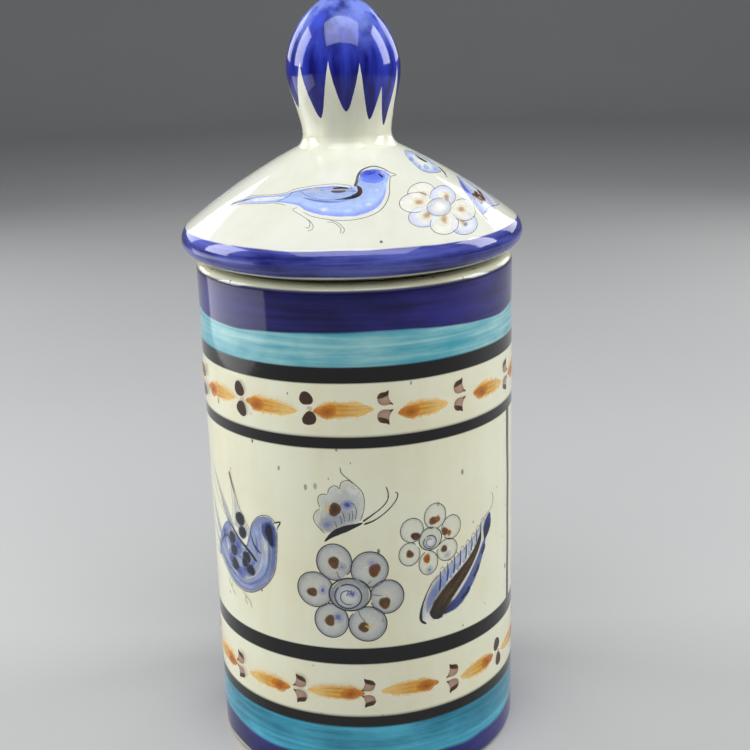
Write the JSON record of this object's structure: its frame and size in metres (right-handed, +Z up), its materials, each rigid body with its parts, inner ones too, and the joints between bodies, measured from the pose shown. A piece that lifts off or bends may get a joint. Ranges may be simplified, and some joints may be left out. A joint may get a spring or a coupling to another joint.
{
  "type": "lidded ceramic canister",
  "caption": "Straight-walled painted ceramic jar with a lift-off domed lid that has a rolled overhanging rim and a bud-shaped finial.",
  "frame": {"origin": "centre of the foot, on the surface that the jar stands on", "axes": "+Z up along the jar's axis, -Y towards the painted panel's front, +X to its right"},
  "size_m": [0.1376, 0.1376, 0.3084],
  "materials": {
    "painted_glaze": "glossy cream tin glaze, hand painted in cobalt, turquoise, black, amber and brown",
    "painted_glaze_lid": "glossy cream tin glaze with a cobalt rim and painted motifs",
    "cobalt_glaze": "glossy cobalt glaze running down in points over cream",
    "bare_clay": "fired clay, matt, without glaze"
  },
  "bodies": {
    "jar": {"jar_wall": "painted_glaze", "jar_floor": "bare_clay"},
    "lid": {"lid_dome": "painted_glaze_lid", "lid_locating_ring": "bare_clay", "lid_finial": "cobalt_glaze"}
  },
  "joints": [
    {"name": "lid_lift", "type": "slide", "parent": "jar", "child": "lid", "axis": [0, 0, 1], "range_m": [0, 0.16]}
  ]
}
